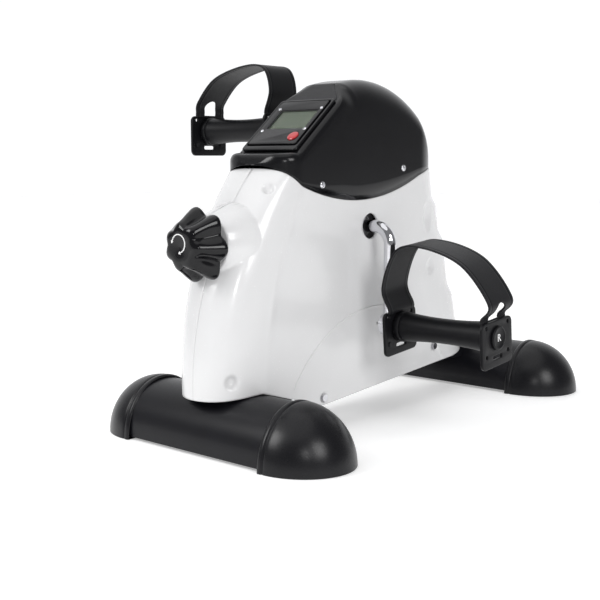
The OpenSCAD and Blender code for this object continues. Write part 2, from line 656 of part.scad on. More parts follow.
module console_case() {
    // Open-backed display case with a window, a button hole and screw holes
    color(black) on_console(case_u0, 0) difference() {
        translate([-30.5, 1.5, -12]) cube([61, case_len - 3, 16]);
        translate([-28.5, 3.5, -13]) cube([57, case_len - 7, 15]);
        translate([lcd_x - lcd_hw, window_u0 - case_u0, 0]) cube([2 * lcd_hw, window_len, 6]);
        translate([button_x, button_u - case_u0, 0]) cylinder(h = 8, r = button_r + fit);
        for (p = case_screws) translate([p[0], p[1] - case_u0, -2]) cylinder(h = 8, r = 1);
    }
}
button_x = 20.5;
button_u = 19;
button_r = 5.8;
case_screws = [[-25.5, 28], [28, 30], [-25.5, 62], [28, 62]];
module console_screws() {
    color(chrome) for (p = case_screws) on_console(p[1], 0) translate([p[0], 0, 0]) union() {
        translate([0, 0, 2]) cylinder(h = 2, r = 0.95);
        translate([0, 0, 4]) cylinder(h = 0.7, r = 1.7);
    }
}
module lcd_window() {
    color([0.6, 0.65, 0.6, 0.4]) on_console(window_u0, 0)
        translate([lcd_x - lcd_hw + 0.1, 0.1, 2.4]) cube([2 * lcd_hw - 0.2, window_len - 0.2, 1.2]);
}
module lcd_panel() {
    color([0.39, 0.43, 0.37]) on_console(window_u0, 0)
        translate([lcd_x - lcd_hw + 0.5, 0.5, 0.4]) cube([2 * lcd_hw - 1, window_len - 1, 1.8]);
}
module circuit_board() {
    color("darkgreen") on_console(case_u0 + 6, 0) translate([-24, 0, -6]) cube([48, 50, 1.6]);
}
module coin_cell() {
    color("silver") on_console(40, 0) translate([8, 0, -9.6]) cylinder(h = 3.6, r = 10);
}
module reset_button() {
    color("crimson") on_console(button_u, 0) translate([button_x, 0, 0]) union() {
        translate([0, 0, -1.6]) cylinder(h = 7.8, r = button_r);
        translate([0, 0, -1.9]) cylinder(h = 0.8, r = button_r + 0.8);
    }
}
module speed_sensor() {
    color("black") union() {
        box_at(plate_x - 12, plate_x, crank_y + 32, crank_y + 47, crank_z - 5, crank_z + 5);
        box_at(plate_x - 3, plate_x, crank_y + 15, crank_y + 47, crank_z - 5, crank_z + 5);
    }
}

base_beam();
front_tube();
rear_tube();
cap_front_left();
cap_front_right();
cap_rear_left();
cap_rear_right();
foot_bolts();
side_plate_left();
side_plate_right();
bearing_left();
bearing_right();
front_post();
carrier_guide();
shell_left();
shell_right();
shell_screws();
hood();
hood_screws();
console_frame();
console_case();
lcd_panel();
lcd_window();
console_screws();
circuit_board();
coin_cell();
speed_sensor();
crank_bar();
brake_drum();
drum_pin();
sensor_magnet();
pedal_axle_left();
pedal_axle_right();
axle_nut_left();
axle_nut_right();
knob();
tension_screw();
screw_collar();
shoe_carrier();
felt_pad();
reset_button();
roller_left();
inner_plate_left();
outer_plate_left();
end_cap_left();
strap_left();
strap_pins_left();
roller_right();
inner_plate_right();
outer_plate_right();
end_cap_right();
strap_right();
strap_pins_right();
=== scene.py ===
"""Looks of the desk pedal exerciser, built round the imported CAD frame. Lengths here are in millimetres."""

import json
from math import cos, exp, pi, radians, sin, sqrt

import bmesh
import bpy
import numpy as np
from mathutils import Matrix, Vector


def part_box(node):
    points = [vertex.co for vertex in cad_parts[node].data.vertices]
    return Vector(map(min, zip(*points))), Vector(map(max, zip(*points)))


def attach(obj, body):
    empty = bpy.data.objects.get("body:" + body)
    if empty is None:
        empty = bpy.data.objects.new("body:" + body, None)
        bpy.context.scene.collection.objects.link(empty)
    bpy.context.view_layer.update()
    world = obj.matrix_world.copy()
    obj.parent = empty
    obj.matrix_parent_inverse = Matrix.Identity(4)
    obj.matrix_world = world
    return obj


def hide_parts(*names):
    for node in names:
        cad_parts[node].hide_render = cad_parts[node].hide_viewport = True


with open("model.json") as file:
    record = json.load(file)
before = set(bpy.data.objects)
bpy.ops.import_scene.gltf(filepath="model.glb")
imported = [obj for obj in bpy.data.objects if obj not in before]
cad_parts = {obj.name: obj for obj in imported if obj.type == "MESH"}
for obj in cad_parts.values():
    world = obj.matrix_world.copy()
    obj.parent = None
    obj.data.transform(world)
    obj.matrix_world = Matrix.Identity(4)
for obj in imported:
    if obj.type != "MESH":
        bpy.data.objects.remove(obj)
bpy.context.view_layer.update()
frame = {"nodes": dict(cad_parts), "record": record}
MM = 0.001


def mm_box(node):
    """Lowest and highest corner of a CAD node, in mm."""
    low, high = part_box(node)
    return [c / MM for c in low], [c / MM for c in high]


def middle(node):
    low, high = mm_box(node)
    return [(a + b) / 2 for a, b in zip(low, high)]


# ---- Places and sizes, from the CAD ----
CRANK_Y, CRANK_Z = middle("bearing_right")[1:]
KNOB_Z = middle("tension_screw")[2]
KNOB_FRONT = mm_box("knob")[0][1]
KNOB_BACK = mm_box("knob")[1][1]
HALF_WIDTH = 42.5
WALL = 2.5
CRANK_HOLE_R = 13
BOSS_FRONT = -226
# Place (y, z) and radius of the small hole in the right-hand shell
PEEP_HOLE = (-27, 99, 1.6)
TILT = {"left": 0, "right": radians(5)}
SIDE_SIGN = {"left": -1, "right": 1}
RISE = {"left": 67, "right": 84}
PEDAL_IN = mm_box("inner_plate_right")[0][0]
PEDAL_OUT = mm_box("outer_plate_right")[1][0]
CONSOLE_START = (-145, 273)
CONSOLE_END = (-62, 341)


# ---- Materials ----
def noise_node(nodes, links, coords, scale, detail, stretch):
    """A noise texture in object space, stretched by a mapping."""
    mapping = nodes.new("ShaderNodeMapping")
    mapping.inputs["Scale"].default_value = stretch
    links.new(coords.outputs["Object"], mapping.inputs["Vector"])
    noise = nodes.new("ShaderNodeTexNoise")
    noise.inputs["Scale"].default_value = scale
    noise.inputs["Detail"].default_value = detail
    links.new(mapping.outputs["Vector"], noise.inputs["Vector"])
    return noise


def ranged(nodes, links, source, low, high):
    """Maps a 0 to 1 value to low to high."""
    node = nodes.new("ShaderNodeMapRange")
    node.inputs["From Min"].default_value = 0.3
    node.inputs["From Max"].default_value = 0.7
    node.inputs["To Min"].default_value = low
    node.inputs["To Max"].default_value = high
    links.new(source, node.inputs["Value"])
    return node.outputs["Result"]


def surface(name, color, rough, metal=0.0, coat=0.0, grain=1400, bump=0.05, vary=0.12, stretch=(1, 1, 1),
            shine=0.5):
    """A moulded, painted or metal finish with colour and gloss variation and a fine bump."""
    mat = bpy.data.materials.new(name)
    mat.use_nodes = True
    nodes = mat.node_tree.nodes
    links = mat.node_tree.links
    shader = nodes["Principled BSDF"]
    coords = nodes.new("ShaderNodeTexCoord")
    broad = noise_node(nodes, links, coords, 28, 4, (1, 1, 1))
    fine = noise_node(nodes, links, coords, grain, 3, stretch)
    ramp = nodes.new("ShaderNodeValToRGB")
    ramp.color_ramp.elements[0].position = 0.3
    ramp.color_ramp.elements[1].position = 0.7
    ramp.color_ramp.elements[0].color = [c * (1 - vary) for c in color] + [1]
    ramp.color_ramp.elements[1].color = [min(1, c * (1 + vary)) for c in color] + [1]
    links.new(broad.outputs["Fac"], ramp.inputs["Fac"])
    links.new(ramp.outputs["Color"], shader.inputs["Base Color"])
    links.new(ranged(nodes, links, fine.outputs["Fac"], rough * 0.85, min(1, rough * 1.15)),
              shader.inputs["Roughness"])
    height = nodes.new("ShaderNodeBump")
    height.inputs["Strength"].default_value = bump
    height.inputs["Distance"].default_value = 0.0004
    links.new(fine.outputs["Fac"], height.inputs["Height"])
    links.new(height.outputs["Normal"], shader.inputs["Normal"])
    shader.inputs["Metallic"].default_value = metal
    shader.inputs["Specular IOR Level"].default_value = shine
    shader.inputs["Coat Weight"].default_value = coat
    shader.inputs["Coat Roughness"].default_value = 0.06
    return mat


def mesh_cloth(name):
    """Black panel with a fine square mesh pressed into it."""
    mat = surface(name, (0.015, 0.015, 0.017), 0.5, grain=900, shine=0.3)
    nodes = mat.node_tree.nodes
    links = mat.node_tree.links
    coords = nodes.new("ShaderNodeTexCoord")
    cells = nodes.new("ShaderNodeTexVoronoi")
    cells.distance = "CHEBYCHEV"
    cells.inputs["Scale"].default_value = 620
    cells.inputs["Randomness"].default_value = 0.0
    links.new(coords.outputs["Object"], cells.inputs["Vector"])
    height = nodes.new("ShaderNodeBump")
    height.inputs["Strength"].default_value = 0.6
    height.inputs["Distance"].default_value = 0.0006
    links.new(cells.outputs["Distance"], height.inputs["Height"])
    links.new(height.outputs["Normal"], nodes["Principled BSDF"].inputs["Normal"])
    return mat


def window_glass(name):
    """Clear, slightly dusty display window."""
    mat = surface(name, (0.3, 0.34, 0.3), 0.08, grain=600, bump=0.01, vary=0.03, shine=0.25)
    shader = mat.node_tree.nodes["Principled BSDF"]
    shader.inputs["Transmission Weight"].default_value = 0.9
    shader.inputs["IOR"].default_value = 1.45
    shader.inputs["Alpha"].default_value = 0.06
    return mat


SLOT_LOOKS = {
    "frame_black": surface("mat_frame_black", (0.005, 0.005, 0.007), 0.36, coat=0.06, grain=700, bump=0.06,
                           shine=0.22),
    "cap_black": surface("mat_cap_black", (0.005, 0.005, 0.0065), 0.3, grain=1800, bump=0.09, shine=0.3),
    "steel": surface("mat_steel", (0.5, 0.5, 0.51), 0.35, metal=1, grain=500, bump=0.05, stretch=(1, 1, 8)),
    "chrome": surface("mat_chrome", (0.72, 0.72, 0.75), 0.09, metal=1, grain=300, bump=0.008, vary=0.04),
    "shell_white": surface("mat_shell_white", (0.7, 0.7, 0.705), 0.24, coat=0.3, grain=500, bump=0.012,
                           vary=0.012),
    "hood_black": surface("mat_hood_black", (0.005, 0.005, 0.006), 0.22, coat=0.12, grain=700, bump=0.02,
                          shine=0.22),
    "lcd_grey": surface("mat_lcd", (0.085, 0.108, 0.075), 0.5, grain=1500, bump=0.02, vary=0.06, shine=0.12),
    "clear_window": window_glass("mat_window"),
    "board_green": surface("mat_board", (0.02, 0.14, 0.05), 0.4, coat=0.3, grain=400, bump=0.1, vary=0.3),
    "cell_steel": surface("mat_cell", (0.6, 0.6, 0.6), 0.22, metal=1, grain=600, stretch=(8, 1, 1)),
    "sensor_black": surface("mat_sensor", (0.02, 0.02, 0.02), 0.5),
    "drum_iron": surface("mat_drum", (0.22, 0.22, 0.23), 0.42, metal=1, grain=600, bump=0.12,
                         stretch=(12, 1, 1)),
    "magnet_grey": surface("mat_magnet", (0.4, 0.4, 0.42), 0.4, metal=1),
    "knob_black": surface("mat_knob", (0.004, 0.004, 0.005), 0.13, coat=0.22, grain=500, bump=0.012,
                          shine=0.2),
    "carrier_alloy": surface("mat_alloy", (0.55, 0.55, 0.57), 0.5, metal=1, grain=800, bump=0.2),
    "felt": surface("mat_felt", (0.2, 0.2, 0.18), 0.95, grain=2500, bump=0.8, vary=0.25),
    "button_red": surface("mat_button", (0.45, 0.02, 0.025), 0.25, coat=0.4, bump=0.02),
    "pedal_black": surface("mat_pedal", (0.005, 0.005, 0.0062), 0.42, grain=1600, bump=0.12, shine=0.18),
    "strap_rubber": surface("mat_strap", (0.008, 0.008, 0.0095), 0.48, grain=1300, bump=0.16, shine=0.22),
}
MESH_LOOK = mesh_cloth("mat_hood_mesh")
PRINT_LOOK = surface("mat_white_print", (0.8, 0.8, 0.8), 0.5, grain=900, bump=0.02, vary=0.03)


# ---- Mesh helpers ----
def add_piece(name, mesh, slot, body, nodes=(), look=None, sharp=40):
    """Links a mesh as a piece of the object, with its finish, on its body."""
    obj = bpy.data.objects.new(name, mesh)
    bpy.context.scene.collection.objects.link(obj)
    mesh.materials.clear()
    mesh.materials.append(look or SLOT_LOOKS[slot])
    mesh.set_sharp_from_angle(angle=radians(sharp))
    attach(obj, body)
    if nodes:
        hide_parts(*nodes)
    return obj


def raw_mesh(name, points, faces):
    """A mesh from points in mm, with its normals made consistent."""
    mesh = bpy.data.meshes.new(name)
    mesh.from_pydata([[c * MM for c in p] for p in points], [], faces)
    mesh.validate()
    build = bmesh.new()
    build.from_mesh(mesh)
    bmesh.ops.remove_doubles(build, verts=build.verts, dist=0.000002)
    bmesh.ops.recalc_face_normals(build, faces=build.faces)
    build.to_mesh(mesh)
    build.free()
    for face in mesh.polygons:
        face.use_smooth = True
    return mesh


def grid_faces(rows, cols, wrap=False):
    """Quads of a grid of points, row by row."""
    faces = []
    last = cols if wrap else cols - 1
    for i in range(rows - 1):
        for j in range(last):
            k = (j + 1) % cols
            faces.append((i * cols + j, i * cols + k, (i + 1) * cols + k, (i + 1) * cols + j))
    return faces


def grid_mesh(name, grid, wrap=False):
    points = [p for row in grid for p in row]
    return raw_mesh(name, points, grid_faces(len(grid), len(grid[0]), wrap))


def revolved(name, profile, steps=64):
    """A turned shape from (radius, height) pairs, about the local Z axis."""
    rings = []
    for r, h in profile:
        rings.append([(r * cos(2 * pi * k / steps), r * sin(2 * pi * k / steps), h) for k in range(steps)])
    return grid_mesh(name, rings, wrap=True)


def moved(mesh, matrix):
    """Applies a matrix in mm to a mesh in metres."""
    shift = Matrix.Translation(Vector(matrix.translation) * MM)
    mesh.transform(shift @ matrix.to_3x3().to_4x4())
    return mesh


def rounded_rectangle(x0, x1, y0, y1, r, steps=8):
    """Outline of a rectangle with round corners."""
    centres = [(x1 - r, y1 - r, 0), (x0 + r, y1 - r, 90), (x0 + r, y0 + r, 180), (x1 - r, y0 + r, 270)]
    points = []
    for cx, cy, start in centres:
        for k in range(steps + 1):
            a = radians(start + 90 * k / steps)
            points.append((cx + r * cos(a), cy + r * sin(a)))
    return points


def circle(cx, cy, r, steps=24):
    return [(cx + r * cos(2 * pi * k / steps), cy + r * sin(2 * pi * k / steps)) for k in range(steps)]


def slab(name, outlines, thickness, bevel):
    """A flat plate with holes and rounded edges. It lies in the local XY plane, from z 0 to its thickness."""
    curve = bpy.data.curves.new(name + "_outline", "CURVE")
    curve.dimensions = "2D"
    curve.fill_mode = "BOTH"
    curve.extrude = (thickness / 2 - bevel) * MM
    curve.bevel_depth = bevel * MM
    curve.bevel_resolution = 3
    curve.offset = -bevel * MM
    for outline in outlines:
        spline = curve.splines.new("POLY")
        spline.points.add(len(outline) - 1)
        for point, (x, y) in zip(spline.points, outline):
            point.co = (x * MM, y * MM, 0, 1)
        spline.use_cyclic_u = True
    maker = bpy.data.objects.new(name + "_maker", curve)
    bpy.context.scene.collection.objects.link(maker)
    graph = bpy.context.evaluated_depsgraph_get()
    mesh = bpy.data.meshes.new_from_object(maker.evaluated_get(graph))
    bpy.data.objects.remove(maker)
    bpy.data.curves.remove(curve)
    build = bmesh.new()
    build.from_mesh(mesh)
    bmesh.ops.remove_doubles(build, verts=build.verts, dist=0.000005)
    build.to_mesh(mesh)
    build.free()
    mesh.transform(Matrix.Translation((0, 0, thickness / 2 * MM)))
    for face in mesh.polygons:
        face.use_smooth = True
    return mesh


def axes(origin, x_axis, y_axis, z_axis):
    """A matrix with these axes and origin, in mm."""
    matrix = Matrix((x_axis, y_axis, z_axis)).transposed().to_4x4()
    matrix.translation = Vector(origin)
    return matrix


def smooth(t):
    t = min(1, max(0, t))
    return t * t * (3 - 2 * t)


# ---- The body's surface ----
def front_y(z):
    return -248 + 81 * (max(0, z - 50) / 212) ** 2.2


def crease_y(z):
    return -195 + 51 * (max(0, z - 50) / 190) ** 2.1


def tail_y(z):
    return 48 + 34 * (max(0, 230 - z) / 150) ** 3


def scallop(z, level, soft):
    return smooth((level + soft - z) / (2 * soft))


def rear_y(z):
    steps = scallop(z, 220, 6) + scallop(z, 182, 7) + scallop(z, 118, 9)
    return 101 + 0.22 * (250 - z) + 8 * steps


def nose_power(z):
    return 2 + 0.8 * min(1, max(0, (z - 50) / 200))


def edge_z(y):
    if y < -200:
        return 54 - 4 * smooth((-200 - y) / 48)
    if y < -113:
        return 54 - 0.3 * (y + 200)
    return 27.9 + 0.075 * (y + 113)


def seam_z(y):
    if y < -145:
        return 241.3 + 0.75 * (-145 - y)
    if y < 40:
        return 226 + (y + 60) ** 2 / 472
    return 247.2 + 12 * (1 - exp((40 - y) / 28))


TAIL_HW = 15
TAIL_ROUND = 7


def outline_point(z, part, t):
    """Half outline at height z: t runs from 0 to 1 along the nose, side, tail or blunt end."""
    a = t * pi / 2
    if part == "nose":
        power = 2 / nose_power(z)
        depth = (crease_y(z) - front_y(z)) * max(0, cos(a)) ** power
        return HALF_WIDTH * sin(a) ** power, crease_y(z) - depth
    if part == "side":
        return HALF_WIDTH, crease_y(z) + t * (tail_y(z) - crease_y(z))
    end = rear_y(z) - TAIL_ROUND
    if part == "tail":
        width = TAIL_HW + (HALF_WIDTH - TAIL_HW) * max(0, cos(a)) ** 1.25
        return width, tail_y(z) + (end - tail_y(z)) * sin(a) ** 1.25
    return TAIL_HW * max(0, cos(a)) ** 0.7, end + TAIL_ROUND * sin(a) ** 0.9


def shell_point(share, part, t):
    """The surface point at this share of the way from the lower edge to the seam."""
    z = 150
    for _ in range(8):
        x, y = outline_point(z, part, t)
        z = edge_z(y) + share * (seam_z(y) - edge_z(y))
    return x, y, z


def shell_columns():
    """Where the columns of the shell's mesh run, closer together at the crank hole and the dimples."""
    hot = [(0.261, 0.03), (0.936, 0.03), (0.618, 0.075)]
    columns = [("nose", k / 58) for k in range(58)]
    t = 0
    while t < 1:
        columns.append(("side", t))
        near = any(abs(t - place) < reach for place, reach in hot)
        t += 0.005 if near else 0.0105
    columns += [("tail", k / 40) for k in range(40)]
    columns += [("blunt", k / 12) for k in range(13)]
    return columns


def dimple_depth(points, place, radius, depth):
    """How far each point sinks into a round recess."""
    distance = np.linalg.norm(points - np.array(place), axis=2)
    edge = np.clip((radius - distance) / (0.7 * radius), 0, 1)
    return depth * edge * edge * (3 - 2 * edge)


# Centre and radius of the arched panel on each side
ARCH_Y = -33
ARCH_Z = -31.5
ARCH_R = 149
# Each dish on the tail's flank: its (y, z), its reach along y and z, and its depth
TAIL_SCOOPS = [((63, 204), (12, 18), 3), ((69, 150), (9, 10), 2.2)]
# Each screw recess of the right-hand shell: its place, radius and depth
SCREW_DIMPLES = [
    ((HALF_WIDTH, -112, 35), 6.4, 4),
    ((HALF_WIDTH, 78, 61), 6.4, 4),
    ((32, -229.9, 67.7), 7.4, 5),
    ((30, -177.9, 240.3), 7, 4.5),
]


def scoop_depth(points, place, reach, depth):
    """A shallow oval dish pressed into the tail's flank."""
    y = (points[:, :, 1] - place[0]) / reach[0]
    z = (points[:, :, 2] - place[1]) / reach[1]
    inside = np.clip(1 - y * y - z * z, 0, 1)
    return depth * np.sqrt(inside) * inside


def shell_offsets(points, side):
    """Outward offset of each shell point for the crease ridge, the arch panel and the dimples."""
    y = points[:, :, 1]
    z = points[:, :, 2]
    crease = np.array([[crease_y(v) for v in row] for row in z])
    ridge = 0.7 * np.exp(-(((y - crease) / 4.5) ** 2)) * np.clip((250 - z) / 20, 0, 1)
    arch = np.clip((ARCH_R - np.hypot(y - ARCH_Y, z - ARCH_Z)) / 2.5, 0, 1)
    flat = points[:, :, 0] > HALF_WIDTH - 0.01
    offset = ridge - 0.55 * arch * arch * (3 - 2 * arch) * flat
    for place, reach, depth in TAIL_SCOOPS:
        offset = offset - scoop_depth(points, place, reach, depth)
    if side == "right":
        for place, radius, depth in SCREW_DIMPLES:
            offset = offset - dimple_depth(points, place, radius, depth)
    return offset


def grid_normals(points):
    """Unit normals of a grid of points, outward for the right-hand shell."""
    down = np.gradient(points, axis=0)
    along = np.gradient(points, axis=1)
    normal = np.cross(along, down)
    length = np.linalg.norm(normal, axis=2, keepdims=True)
    return normal / np.maximum(length, 1e-9)


def boss_push(points):
    """Pulls the nose forward into the flared boss behind the knob."""
    radius = np.hypot(points[:, :, 0], points[:, :, 2] - KNOB_Z)
    flare = np.clip((radius - 25.5) / 13, 0, 1)
    boss = BOSS_FRONT + 33 * flare ** 1.25 + 40 * np.clip(radius - 37, 0, 20)
    soft = 5.0
    y = points[:, :, 1]
    near = y < -120
    h = np.clip(0.5 + 0.5 * (y - boss) / soft, 0, 1)
    blended = y * (1 - h) + boss * h - soft * h * (1 - h)
    points[:, :, 1] = np.where(near & (radius < 41), blended, y)
    return points


def open_hole(mesh, centre_y, centre_z, radius):
    """Cuts a round hole through the flat side and sets its rim on the circle."""
    build = bmesh.new()
    build.from_mesh(mesh)
    doomed = []
    for face in build.faces:
        c = face.calc_center_median() / MM
        if abs(c.x) > 40 and sqrt((c.y - centre_y) ** 2 + (c.z - centre_z) ** 2) < radius:
            doomed.append(face)
    bmesh.ops.delete(build, geom=doomed, context="FACES")
    for edge in build.edges:
        if not edge.is_boundary:
            continue
        for vert in edge.verts:
            dy = vert.co.y / MM - centre_y
            dz = vert.co.z / MM - centre_z
            distance = sqrt(dy * dy + dz * dz)
            if distance < radius + 4 and abs(vert.co.x) > 0.04:
                vert.co.y = (centre_y + dy * radius / distance) * MM
                vert.co.z = (centre_z + dz * radius / distance) * MM
    build.to_mesh(mesh)
    build.free()


def shell(side):
    """One half of the white body: a moulded sheet with a folded rim."""
    rows = 150
    columns = shell_columns()
    grid = [[shell_point(i / rows, part, t) for part, t in columns] for i in range(rows + 1)]
    points = np.array(grid)
    points += grid_normals(points) * shell_offsets(points, side)[:, :, None]
    points = boss_push(points)
    points[:, :, 0] = np.maximum(points[:, :, 0], 0.03)
    points[:, 0, 0] = 0.03
    points[:, :, 0] *= SIDE_SIGN[side]
    mesh = grid_mesh("body_" + side, points.tolist())
    open_hole(mesh, CRANK_Y, CRANK_Z, CRANK_HOLE_R)
    if side == "right":
        open_hole(mesh, *PEEP_HOLE)
    obj = add_piece("body_" + side, mesh, "shell_white", "base", ["shell_" + side])
    thick = obj.modifiers.new("wall", "SOLIDIFY")
    thick.thickness = WALL * MM
    thick.offset = -1
    thick.use_rim_only = True
    return obj


def tube_along(name, path, radius, steps=10):
    """A thin round bead along a path of points."""
    rings = []
    for i, point in enumerate(path):
        before = Vector(path[max(0, i - 1)])
        after = Vector(path[min(len(path) - 1, i + 1)])
        forward = (after - before).normalized()
        side = forward.orthogonal() if i == 0 else side - forward * side.dot(forward)
        side = side.normalized()
        up = forward.cross(side)
        ring = []
        for k in range(steps):
            a = 2 * pi * k / steps
            ring.append(Vector(point) + radius * (cos(a) * side + sin(a) * up))
        rings.append([tuple(p) for p in ring])
    return grid_mesh(name, rings, wrap=True)


def arch_lip(side):
    """The fine raised lip along the arch of the side panel."""
    path = []
    for k in range(161):
        a = radians(33.5 + (146.5 - 33.5) * k / 160)
        y = ARCH_Y + ARCH_R * cos(a)
        z = ARCH_Z + ARCH_R * sin(a)
        if z > edge_z(y) + 0.8:
            path.append((SIDE_SIGN[side] * (HALF_WIDTH + 0.02), y, z))
    mesh = tube_along("panel_lip_" + side, path, 0.5)
    return add_piece("panel_lip_" + side, mesh, "shell_white", "base", sharp=80)


# ---- Hood ----
HOOD_FRONT = -170.5
HOOD_BACK = 97
# Centre (y, z) and radius of the hood's domed back
DOME = (-28, 218, 128)


def hood_top(y):
    if y < -163:
        return 262 + 9.5 * sin(pi / 2 * max(0, y - HOOD_FRONT) / (-163 - HOOD_FRONT))
    if y < CONSOLE_START[0]:
        return 271.5 + 1.5 * (y + 163) / 18
    if y < CONSOLE_END[0]:
        share = (y - CONSOLE_START[0]) / (CONSOLE_END[0] - CONSOLE_START[0])
        return CONSOLE_START[1] + share * (CONSOLE_END[1] - CONSOLE_START[1])
    if y < DOME[0]:
        return 341 + 5 * sin(pi / 2 * (y - CONSOLE_END[0]) / (DOME[0] - CONSOLE_END[0]))
    return DOME[1] + sqrt(max(0, DOME[2] ** 2 - (y - DOME[0]) ** 2))


def hood_half_width(y):
    z = seam_z(y)
    crease = crease_y(z)
    power = nose_power(z)
    tail = tail_y(z)
    end = HOOD_BACK - TAIL_ROUND
    if y <= crease:
        share = min(1, max(0, (crease - y) / (crease - HOOD_FRONT)))
        return HALF_WIDTH * max(0.0001, 1 - share ** power) ** (1 / power)
    if y <= tail:
        return HALF_WIDTH
    if y <= end:
        rest = max(0, 1 - ((y - tail) / (end - tail)) ** 1.6)
        return TAIL_HW + (HALF_WIDTH - TAIL_HW) * rest ** (1 / 1.6)
    return TAIL_HW * sqrt(max(0.0001, 1 - ((y - end) / TAIL_ROUND) ** 2))


def hood_corner(y):
    """Radius of the hood's long upper edges, which grow into an arched top."""
    return 8 + 20 * smooth((y + 86) / 26)


def hood_section(y):
    """Right half and left half of the hood's cross section, as one row of points."""
    width = max(0.3, hood_half_width(y))
    low = seam_z(y) + 0.35
    top = max(low + 1, hood_top(y))
    corner = max(0.1, min(hood_corner(y), width, top - low - 0.3))
    row = [(width, y, low + (top - corner - low) * k / 6) for k in range(6)]
    for k in range(11):
        a = k * pi / 20
        row.append((width - corner + corner * cos(a), y, top - corner + corner * sin(a)))
    inner = width - corner
    for k in range(1, 8):
        row.append((inner * (1 - k / 8), y, top))
    row.append((0, y, top))
    return row + [(-x, yy, z) for x, yy, z in reversed(row[:-1])]


def hood_stations():
    ys = [HOOD_FRONT + 7.5 * (1 - cos(pi / 2 * k / 10)) for k in range(11)]
    ys += [-163 + k * 2 for k in range(1, 9)]
    ys += [CONSOLE_START[0] + k * (CONSOLE_END[0] - CONSOLE_START[0]) / 28 for k in range(29)]
    ys += [CONSOLE_END[0] + k * 2.5 for k in range(1, 14)]
    end = HOOD_BACK - TAIL_ROUND
    ys += [DOME[0] + (end - DOME[0]) * k / 42 for k in range(43)]
    ys += [end + TAIL_ROUND * sin(pi / 2 * k / 10) for k in range(1, 11)]
    return ys


def hood():
    mesh = grid_mesh("hood_shell", [hood_section(y) for y in hood_stations()])
    obj = add_piece("hood_shell", mesh, "hood_black", "base", ["hood"], sharp=50)
    thick = obj.modifiers.new("wall", "SOLIDIFY")
    thick.thickness = WALL * MM
    thick.offset = -1
    thick.use_rim_only = True
    return obj


# ---- Display on the sloping face ----
def console_axes(u=0, lift=0):
    """The console face: x across, y up the slope, z out of the face."""
    dy = CONSOLE_END[0] - CONSOLE_START[0]
    dz = CONSOLE_END[1] - CONSOLE_START[1]
    length = sqrt(dy * dy + dz * dz)
    up = Vector((0, dy / length, dz / length))
    out = Vector((0, -dz / length, dy / length))
    origin = Vector((0, CONSOLE_START[0], CONSOLE_START[1])) + up * u + out * lift
    return axes(origin, Vector((1, 0, 0)), up, out)


# Button: x, height up the face and radius. Display: left, right, low and high edge.
BUTTON = (20.5, 19, 5.8)
LCD = (-22, 26, 31, 60)
HOOD_SCREWS = [(-115.5, 242.1), (15.6, 257)]
CASE_SCREWS = [(-25.5, 28), (28, 30), (-25.5, 62), (28, 62)]


def console_pieces():
    ring = [rounded_rectangle(-35, 35, 0.2, 78, 4), rounded_rectangle(-32, 32, 6.5, 75, 2.5)]
    mesh = moved(slab("console_surround", ring, 3, 0.9), console_axes(0, 0.1))
    add_piece("console_surround", mesh, "hood_black", "base", ["console_frame"])
    face = [
        rounded_rectangle(-30.5, 30.5, 8, 73.5, 2.5),
        rounded_rectangle(*LCD, 1),
        circle(BUTTON[0], BUTTON[1], BUTTON[2] + 0.25),
    ]
    mesh = moved(slab("console_face", face, 3, 0.5), console_axes(0, 1))
    add_piece("console_face", mesh, "hood_black", "base", ["console_case"])
    bezel = [
        rounded_rectangle(LCD[0] + 0.1, LCD[1] - 0.1, LCD[2] + 0.1, LCD[3] - 0.1, 1),
        rounded_rectangle(LCD[0] + 1, LCD[1] - 1, LCD[2] + 1, LCD[3] - 1, 0.8),
    ]
    mesh = moved(slab("lcd_bezel", bezel, 0.8, 0.2), console_axes(0, 2.5))
    add_piece("lcd_bezel", mesh, "sensor_black", "base")
    x, u, r = BUTTON
    profile = [(0.01, 5.6), (r * 0.6, 5.5), (r * 0.9, 5.1), (r, 4.6), (r, -1), (0.01, -1)]
    mesh = revolved("button_cap", profile, 40)
    add_piece("button_cap", moved(mesh, console_axes(u, 0) @ Matrix.Translation((x, 0, 0))), "button_red",
              "button", ["reset_button"])
    mesh_panel()


def mesh_panel():
    """The fine mesh panel above the display, with its arched top."""
    rows = []
    for i in range(21):
        row = []
        for j in range(41):
            u = 79 + 27 * i / 20
            y = console_axes(u).translation.y
            half = HALF_WIDTH - hood_corner(y) - 1
            point = console_axes(u, 0.12) @ Vector((half * (j / 20 - 1), 0, 0))
            row.append(tuple(point))
        rows.append(row)
    mesh = grid_mesh("mesh_panel", rows)
    obj = add_piece("mesh_panel", mesh, "hood_black", "base", look=MESH_LOOK)
    thick = obj.modifiers.new("sheet", "SOLIDIFY")
    thick.thickness = 0.5 * MM
    thick.offset = 0
    return obj


def cross_depth(x, y, arm, width):
    """1 inside a cross-shaped driver recess, 0 outside it."""
    inside = (abs(x) < width and abs(y) < arm) or (abs(y) < width and abs(x) < arm)
    return 1 if inside else 0


def screw_head(name, matrix, radius, height, nodes=()):
    """A domed screw head with a cross recess. Its base lies in the local XY plane."""
    n = 26
    rows = []
    for i in range(n + 1):
        row = []
        for j in range(n + 1):
            u = 2 * i / n - 1
            v = 2 * j / n - 1
            x = radius * u * sqrt(1 - v * v / 2)
            y = radius * v * sqrt(1 - u * u / 2)
            share = min(1, (x * x + y * y) / radius ** 2)
            dome = height * sqrt(max(0, 1 - share ** 2))
            sink = 0.6 * height * cross_depth(x, y, radius * 0.55, radius * 0.15)
            row.append((x, y, dome - sink))
        rows.append(row)
    mesh = moved(grid_mesh(name, rows), matrix)
    return add_piece(name, mesh, "chrome", "base", nodes, sharp=30)


